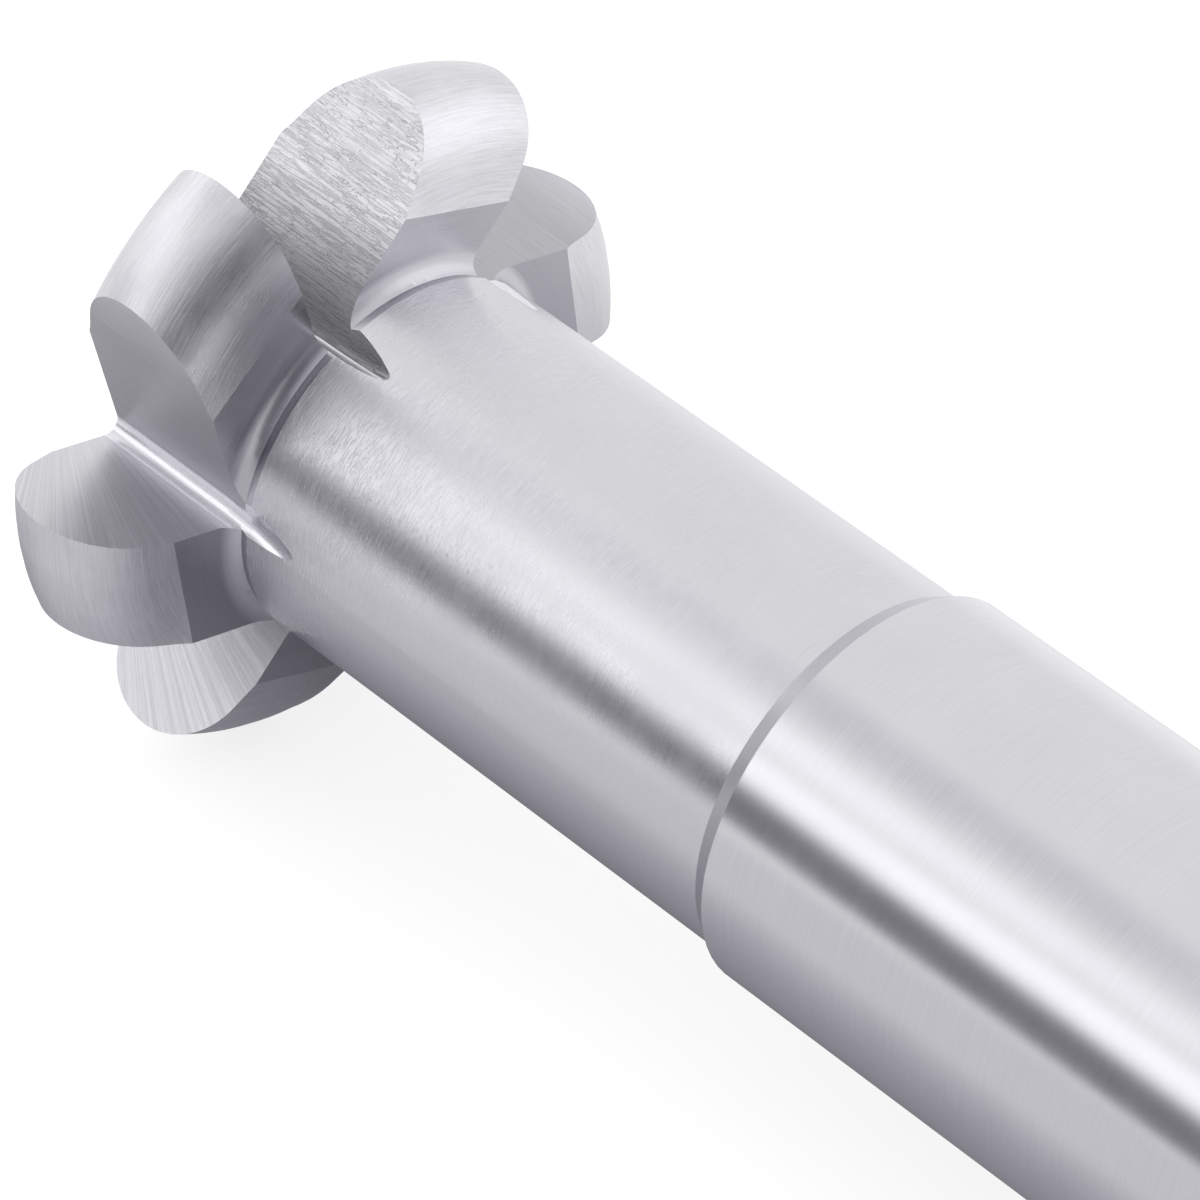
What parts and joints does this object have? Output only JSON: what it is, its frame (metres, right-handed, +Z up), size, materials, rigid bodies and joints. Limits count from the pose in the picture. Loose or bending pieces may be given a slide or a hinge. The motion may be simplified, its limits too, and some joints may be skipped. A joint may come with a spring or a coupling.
{
  "type": "convex radius cutter",
  "caption": "Milling cutter with half-round convex teeth on a plain cylindrical shank, for cutting round-bottomed grooves.",
  "frame": {"origin": "centre of the bounding box's base, on the surface that the tool lies on", "axes": "+X along the tool's length, from the cutting head towards the end of the shank; +Z up, with the tool lying on its side as it rests"},
  "size_m": [0.081, 0.0278, 0.0259],
  "materials": {
    "steel": "ground and brushed bare steel"
  },
  "bodies": {
    "root": {"cutter": "steel"}
  },
  "joints": []
}
